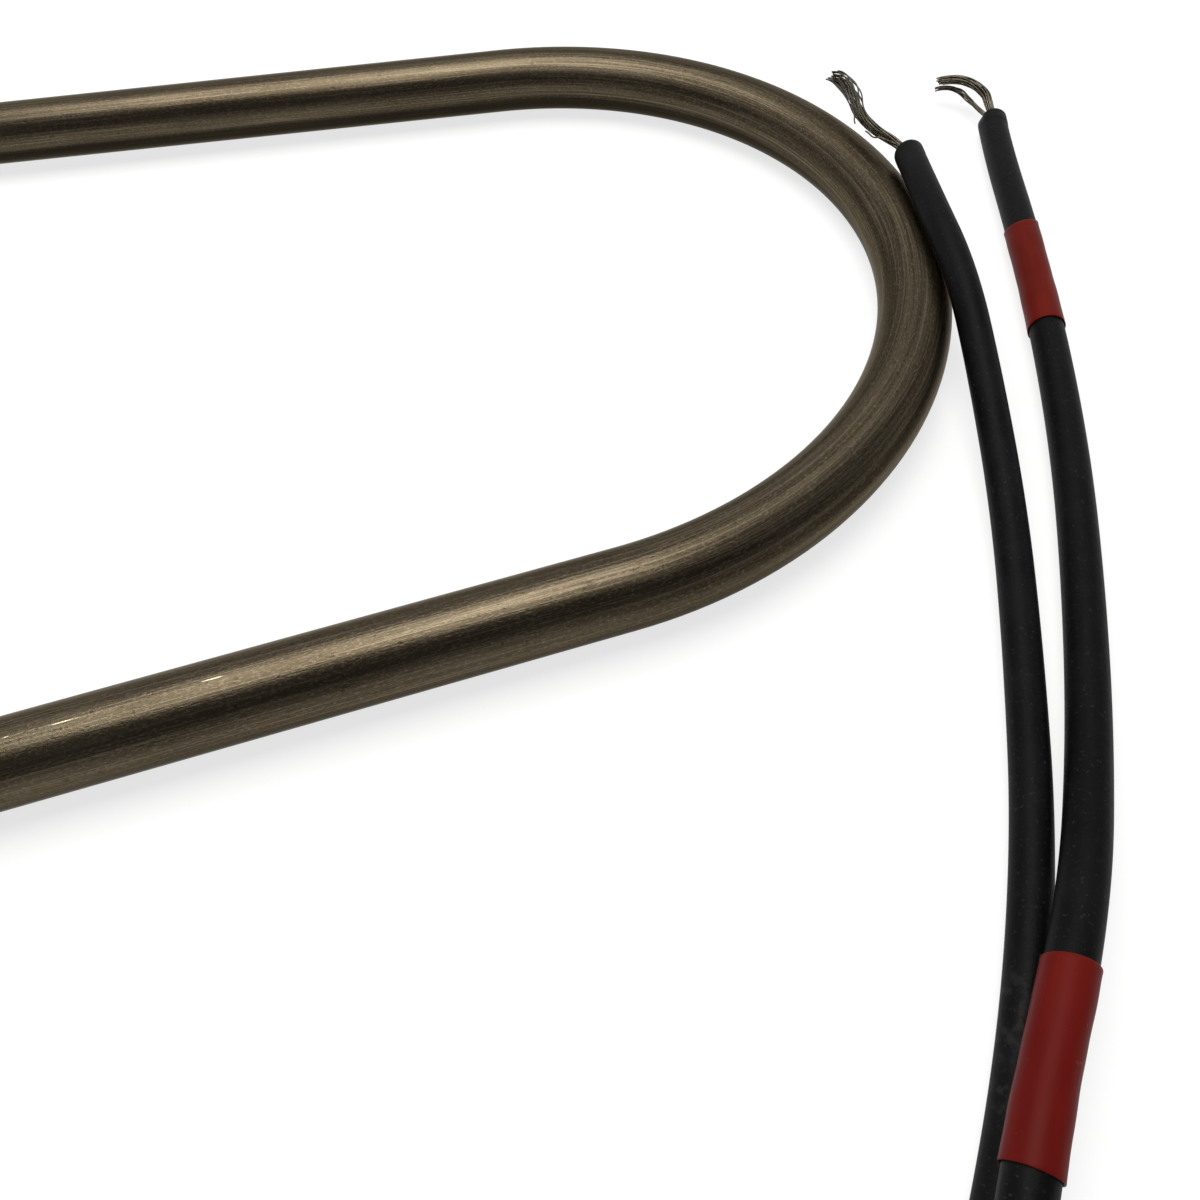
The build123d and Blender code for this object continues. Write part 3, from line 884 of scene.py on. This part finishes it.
@dataclass
class Lead:
    """One rubber lead: jacket, conductor, cut end, strands and the sleeves on it."""

    side: Side
    diameter: float
    length: float
    exit: Point
    route: tuple[Point, ...]
    rubber: Rubber
    copper: Grained
    bundle: StrandBundle
    sleeves: tuple[SleeveSize, ...] = ()
    rim: float = 1.6
    tuck: float = 1.6
    trim: float = 2.5
    wall: float = 0.95
    core: float = 1.5
    core_back: float = 0.5
    bite: float = 0.0
    soft: float = 0.6
    ragged: float = 0.02
    ragged_run: float = 0.9

    def shortened(self, back: float) -> list[Point]:
        """The route with its last point drawn back along the last run.

        Args:
            back (float): Distance in millimetres.

        Returns:
            list[Point]: Control points in millimetres.
        """
        last, before = Vector(self.route[-1]), Vector(self.route[-2])
        end = last + (before - last).normalized() * back
        return [*self.route[:-1], tuple(end)]

    def cut_end(self, line: Centreline) -> Piece:
        """The cut face of the jacket: a softly rounded rim round the strands.

        Args:
            line (Centreline): The lead's whole line.

        Returns:
            Piece: The finished piece.
        """
        total, outer = line.length / MM - self.trim, self.diameter / 2
        bore = outer - self.wall
        start = total - self.rim - self.tuck
        turns = [math.pi / 2 * k / 8 for k in range(9)]
        # the first rings lie inside the jacket and come out of it a hair's breadth thicker
        profile = [
            (start, outer - 0.3), (start + 0.3, outer - 0.05),
            (start + 1.0, outer + 0.012), (start + 1.3, outer + 0.02),
            *(
                (total - self.soft * (1 - math.sin(a)), outer + 0.02 - 0.8 * self.soft * (1 - math.cos(a)))
                for a in turns
            ),
            (total, bore + 0.1), (total - 0.06, bore), (total - 1.2, bore - 0.05),
            (total - 1.3, 0.4), (start, 0.4),
        ]

        def relief(station: float, angle: float) -> float:
            """Unevenness of the cut, most at the very end."""
            near = min(1.0, max(0.0, 1 - (total - station) / self.ragged_run))
            notch = self.bite * max(0.0, math.cos(angle + 1.2)) ** 8
            return -near * (self.ragged * math.sin(3 * angle + 0.7) + notch)

        made = turned(f"cut_end_{self.side.value}", line, profile, 48, relief)
        return finished(made, material=self.rubber.material())

    def sleeve(self, size: SleeveSize, line: Centreline) -> Piece:
        """A thin shrunk sleeve, a little loose, with a lip at each end.

        Args:
            size (SleeveSize): Its sizes.
            line (Centreline): The lead's whole line.

        Returns:
            Piece: The finished piece.
        """
        total = line.length / MM
        first, last = total - size.start - size.length, total - size.start
        outer, inner = [], []
        for k in range(size.rings + 1):
            share = k / size.rings
            edge = min(share, 1 - share) * size.length
            flare = size.lip * math.exp(-edge / size.lip_run)
            # two waves that don't fit each other, and that die out at the ends
            slack = size.loose * (math.sin(9.1 * share) + 0.6 * math.sin(23 * share + 1.3)) * min(1, edge)
            station = first + share * (last - first)
            outer.append((station, size.radius + flare + slack))
            inner.append((station, size.bore + flare * 0.8))
        lip_radii = (size.radius + size.lip * 0.6, size.bore + size.lip)
        lips = [(last + size.lip_round, radius) for radius in lip_radii]
        heels = [(first - size.lip_round, radius) for radius in reversed(lip_radii)]

        def skew(station: float, angle: float) -> float:
            """Slant of the cut ends, as an extra distance along the lead."""
            lean = size.slant * math.sin(angle) + size.nod * math.cos(angle)
            return lean * (station - first) / size.length

        profile = [*outer, *lips, *reversed(inner), *heels]
        made = turned(size.name, line, profile, size.sides, skew=skew)
        return finished(made, [size.node], size.finish.material())

    def build(self) -> list[Piece]:
        """Returns:
            list[Piece]: The jacket and the pieces that go with it.
        """
        label = self.side.value
        guide = spline(f"line_{label}", self.route)
        line = Centreline.of_spline(guide)
        bpy.data.objects.remove(guide)
        back = self.trim + self.rim
        jacket = spline(f"jacket_{label}", self.shortened(back), self.diameter / 2)
        finished(jacket, [f"lead_jacket_{label}"], self.rubber.material())
        core = spline(f"conductor_{label}", self.shortened(back + self.core_back), self.core / 2)
        finished(core, [f"lead_core_{label}"], self.copper.material())
        pieces = [core, self.cut_end(line), *self.bundle.build()]
        pieces += [self.sleeve(size, line) for size in self.sleeves]
        return [jacket, *pieces]


@dataclass
class InnerParts:
    """CAD pieces whose shape is kept and that only get their finish."""

    finishes: dict[str, Finish]

    def build(self) -> list[Piece]:
        """Gives every kept node the finish of its kind.

        Returns:
            list[Piece]: These nodes.
        """
        dressed = []
        for start, finish in self.finishes.items():
            material = finish.material()
            for name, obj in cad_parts.items():
                if name.startswith(start):
                    for slot in obj.material_slots:
                        slot.material = material
                    dressed.append(obj)
        return dressed


# ---- the studio ----
@dataclass
class Studio:
    """Pale floor, one soft light, the surround and the camera; lengths in metres."""

    eye: Point = (0.10964272, -0.10647177, 0.08470149)
    right: Point = (0.98070135, -0.18308489, -0.06859138)
    down: Point = (-0.18913104, -0.79949817, -0.57011589)
    ahead: Point = (0.04954093, 0.57208616, -0.81869597)
    lens: float = 30.0
    sensor: float = 36.0
    pale: float = 0.82
    dim: float = 0.17
    backdrop: float = 0.95
    sky: str = "#fbfbff"
    floor_half: float = 3.0
    floor_level: float = -0.00015
    floor_grey: float = 0.27
    floor_glow: float = 0.74
    light_place: Point = (0.03, 0.08, 0.6)
    light_aim: Point = (0.03, 0.08, 0.0)
    light_size: float = 0.48
    light_power: float = 3.8
    light_colour: str = "#fffdf9"

    def camera(self) -> None:
        """Places the camera and makes it the scene's own."""
        data = bpy.data.cameras.new("camera")
        data.lens = self.lens
        data.sensor_width = self.sensor
        data.sensor_fit = "HORIZONTAL"
        data.clip_start = 0.005
        data.clip_end = 20.0
        made = placed("camera", data)
        columns = [Vector(self.right), -Vector(self.down), -Vector(self.ahead)]
        turn = Matrix(columns).transposed().to_4x4()
        made.matrix_world = Matrix.Translation(Vector(self.eye)) @ turn
        bpy.context.scene.camera = made

    def floor(self) -> None:
        """A wide plain floor just under the object, partly self-lit so that it stays pale."""
        mesh = bpy.data.meshes.new("floor")
        corners = ((-1, -1), (1, -1), (1, 1), (-1, 1))
        places = [(x * self.floor_half, y * self.floor_half, self.floor_level) for x, y in corners]
        mesh.from_pydata(places, [], [(0, 1, 2, 3)])
        material = bpy.data.materials.new("floor_finish")
        material.use_nodes = True
        shader = material.node_tree.nodes["Principled BSDF"]
        shader.inputs["Base Color"].default_value = (*[self.floor_grey] * 3, 1.0)
        shader.inputs["Emission Color"].default_value = (1.0, 1.0, 1.0, 1.0)
        shader.inputs["Emission Strength"].default_value = self.floor_glow
        shader.inputs["Roughness"].default_value = 0.85
        shader.inputs["Specular IOR Level"].default_value = 0.1
        mesh.materials.append(material)
        placed("floor", mesh)

    def softbox(self) -> None:
        """Hangs one soft square light over the object, unseen by the camera."""
        data = bpy.data.lights.new("softbox", "AREA")
        data.shape = "SQUARE"
        data.size = self.light_size
        data.energy = self.light_power
        data.color = linear(self.light_colour)[:3]
        made = placed("softbox", data)
        made.visible_camera = False
        place = Vector(self.light_place)
        turn = (Vector(self.light_aim) - place).to_track_quat("-Z", "Y")
        made.matrix_world = Matrix.Translation(place) @ turn.to_matrix().to_4x4()

    def world(self) -> None:
        """A surround that is pale behind and low down, and dim in front."""
        world = bpy.data.worlds.new("surround")
        bpy.context.scene.world = world
        world.use_nodes = True
        tree = world.node_tree
        node = partial(add, tree)
        way = node("ShaderNodeTexCoord").node.outputs["Generated"]
        _, depth, height = node(APART, way).node.outputs
        behind = node(STEP, depth, -0.1, 0.4)
        low = node(STEP, height, 0.2, 0.1)
        share = node("MAXIMUM", behind, low)
        strength = node("MULTIPLY_ADD", share, self.pale - self.dim, self.dim)
        # straight looks past the floor meet one even pale backdrop
        direct = node("ShaderNodeLightPath").node.outputs["Is Camera Ray"]
        even = node("MULTIPLY", direct, self.backdrop)
        sky = tree.nodes["Background"]
        sky.inputs["Color"].default_value = linear(self.sky)
        tree.links.new(node("MAXIMUM", strength, even), sky.inputs["Strength"])

    def build(self) -> None:
        """Builds floor, light, surround and camera."""
        self.camera()
        self.floor()
        self.world()
        self.softbox()
        bpy.context.scene.view_settings.view_transform = "Standard"


# ---- the whole part ----
# stainless steel tube, cold drawn and then annealed on a furnace belt: a thin brown oxide over
# fine lines that run along the tube, half shiny, with a few fresh scratches where metal is bare
SHEATH_STEEL = AnnealedSheath(
    "annealed_sheath", "#463e31", "#524a3b", 0.3, Coords.LAID,
    scratches=((434.4, 87.3, 1.2), (447.5, 85.2, 1.5), (452.9, 86.0, 0.6)),
    nicks=((423.2, 33.0, 0.5), (432.5, 33.0, 0.35), (356.0, 90.0, 0.3), (251.0, 162.0, 0.3)),
)
# silicone or EPDM rubber, extruded and dusted with talc: near black and matt, greyed where rubbed
NEAR_RUBBER = Rubber(
    "lead_rubber", "#09090a", "#101012", 0.5,
    scuffs=((139.3, -93.4, 3.4), (138.1, -95.8, 3.4), (135.7, -99.7, 3.2)),
)
FAR_RUBBER = Rubber("lead_rubber", "#080808", "#0e0e0e", 0.5)
# the same rubber, moulded in a sand-blasted tool: a little paler and with coarser specks
BOOT_RUBBER = Rubber("boot_rubber", "#0a0a0b", "#131314", 0.55, speck_mm=0.5, dusty=0.25)
# hot-tinned copper wire, drawn and bunched: grey metal, dulled by handling
TINNED = Grained("tinned_copper", "#38332a", "#6d675a", 0.3, metallic=1.0, grain_mm=0.3)
# red polyolefin heat-shrink tube, extruded and shrunk by hot air: dark red with a weak sheen
END_RED = ShrinkSleeve("red_sleeve", "#64160b", "#560f06", 0.45, Coords.LAID)
LOW_RED = ShrinkSleeve("red_sleeve", "#60140f", "#520d09", 0.45, Coords.LAID)
INNER = {
    "boot_": BOOT_RUBBER,
    # drawn nickel-chrome wire, oxidised grey in its first heat
    "resistance_coil": Grained("resistance_alloy", "#6f6a62", "#8d877c", 0.4, metallic=1.0, grain_mm=0.4),
    # fused magnesia powder, pressed hard as the tube is rolled down: chalky and without shine
    "magnesia_fill": Grained("magnesia_powder", "#e6e2d8", "#d2cdc0", 0.95, grain_mm=0.2, relief_mm=0.03),
    # nickel-plated steel rod, drawn: bright grey with lines along it
    "terminal_pin_": Grained(
        "plated_pin", "#a5a39c", "#c7c5be", 0.3, metallic=1.0, grain_mm=0.4, stretch=(8, 1, 1)
    ),
    # steatite, pressed and fired without glaze: cream and half matt
    "ceramic_bead_": Grained("bead_ceramic", "#eae4d6", "#d8d0bd", 0.55, grain_mm=0.4),
    # silicone resin, poured and cured: brown and glossy
    "resin_seal_": Grained("seal_resin", "#5b2c1a", "#7a3c22", 0.3, grain_mm=0.8),
    # tinned brass sleeve, pressed: pale yellow metal
    "crimp_splice_": Grained("splice_metal", "#b3a27c", "#cbbb95", 0.35, metallic=1.0, grain_mm=0.5),
}
# control points in millimetres, from the boot or the cut end outwards
NEAR_ROUTE = (
    (-149.98, -77.81, 6.148), (-179.82, -80.95, 6.33), (-209, -86.5, 2.8), (-231, -101, 1.8),
    (-230, -125, 1.8), (-206, -139, 1.8), (-164, -143, 1.8), (-108, -139.5, 1.8), (-52, -134, 1.8),
    (4, -134.5, 1.8), (60, -137.5, 1.8), (98, -134, 1.8), (123, -118.5, 1.8), (135.8, -100.5, 1.8),
    (145.3, -82.5, 1.8), (152.5, -64, 1.8), (158, -47.5, 2.6), (161.5, -31.5, 5.4), (163.4, -18, 9.1),
    (164, -4.8, 10.4), (166, 8.2, 9.6),
)
FAR_ROUTE = (
    (-149.98, 77.81, 6.148), (-179.82, 80.95, 6.33), (-212, 80, 2.9), (-240, 68, 1.95), (-257, 41, 1.95),
    (-262, 1, 1.95), (-262, -43, 1.95), (-259, -86, 1.95), (-246, -120, 1.95), (-219, -143, 1.95),
    (-180, -153, 1.95), (-128, -152, 1.95), (-72, -146, 1.95), (-14, -147, 1.95), (42, -151, 1.95),
    (86, -148, 1.95), (115, -133, 2.6), (126, -117.5, 5.4), (134.8, -102.5, 6.2), (145.8, -88, 5.3),
    (154, -74, 2.4), (160.8, -59, 1.95), (167.3, -42.5, 2.05), (173.2, -24, 2.4), (178.5, -4.5, 2.4),
    (182.8, 12.5, 2.05), (186.2, 23.8, 1.95),
)
NEAR_STRANDS = (
    ((165.6, 5.2, 9.8), (165.2, 6.9, 10), (164.1, 8.4, 10.6), (162.73, 10.06, 11), (161.9, 13.25, 11.3),
     (162.94, 17.64, 11.4), (163.09, 22.41, 11.2), (162.26, 25.25, 10.9), (161.01, 25.19, 10.5)),
    ((165.4, 5.2, 9.6), (165, 6.9, 9.7), (163.9, 8.6, 9.9), (162.77, 10.73, 10.1), (161.89, 15.11, 10.3),
     (162.26, 18.48, 10.2), (162.4, 22.57, 10), (162.05, 25.34, 9.9), (161.39, 26.11, 9.8)),
    ((165.5, 5.2, 9.7), (165.1, 6.9, 9.9), (164, 8.6, 10.2), (162.6, 10.5, 10.4), (162.15, 13.8, 10.9),
     (162.4, 18.7, 10.8), (162.9, 21.9, 10.5), (162.3, 24.3, 10.4), (161.4, 25.1, 10.2)),
)
NEAR_STRAYS = (
    ((164.8, 6.8, 10), (164.16, 7.76, 10.2), (163, 8.56, 10.3), (162.06, 9.59, 10.3),
     (161.72, 11.12, 10.2)),
    ((162.36, 13.76, 10.6), (162.19, 16.08, 10.5), (161.24, 14.48, 10.4), (160.97, 12.82, 10.3)),
)
FAR_STRANDS = (
    ((186, 21, 1.97), (186.05, 22.6, 2.1), (186.1, 24.1, 2.6), (186.28, 26.28, 3.4), (184.82, 28.66, 4),
     (182.73, 30.34, 4), (180.66, 31.23, 3.4)),
    ((185.6, 21, 1.95), (185.3, 22.4, 1.95), (184.7, 24.1, 2.2), (184.2, 26.22, 2.6),
     (183.53, 29.39, 2.6), (182.37, 31.25, 2.3), (180.97, 31.72, 1.9)),
)


def main() -> None:
    """Builds every piece in order and reports it."""
    logging.basicConfig(level=logging.INFO, format="%(name)s: %(message)s", stream=sys.stdout)
    Studio().build()
    near_strands = StrandBundle(Side.NEAR, NEAR_STRANDS, TINNED, strays=NEAR_STRAYS, twist=4.5, seed=5)
    far_strands = StrandBundle(
        Side.FAR, FAR_STRANDS, TINNED, outer_strands=12, pitch=0.2, twist=1.0, fray=0.5, stray=0.5, seed=8
    )
    sleeves = (
        SleeveSize("sleeve_end", "marker_sleeve_end", 28.8, 19.4, END_RED, slant=0.5, nod=-1.0),
        SleeveSize("sleeve_low", "marker_sleeve_low", 124.6, 14.9, LOW_RED, radius=2.12, slant=0.2),
    )
    near_exit, far_exit = (-0.16589, -0.07948, 0.006245), (-0.16589, 0.07948, 0.006245)
    assemblies = (
        Lead(Side.NEAR, 3.6, 0.6036, near_exit, NEAR_ROUTE, NEAR_RUBBER, TINNED, near_strands),
        Lead(
            Side.FAR, 3.9, 0.8335, far_exit, FAR_ROUTE, FAR_RUBBER, TINNED, far_strands, sleeves,
            bite=0.35, trim=2.7, soft=0.2,
        ),
        Sheath(Hairpin(), SHEATH_STEEL),
        InnerParts(INNER),
    )
    for assembly in assemblies:
        for piece in assembly.build():
            log.info("%s: %s", type(assembly).__name__, piece.name)


if __name__ == "__main__":
    main()
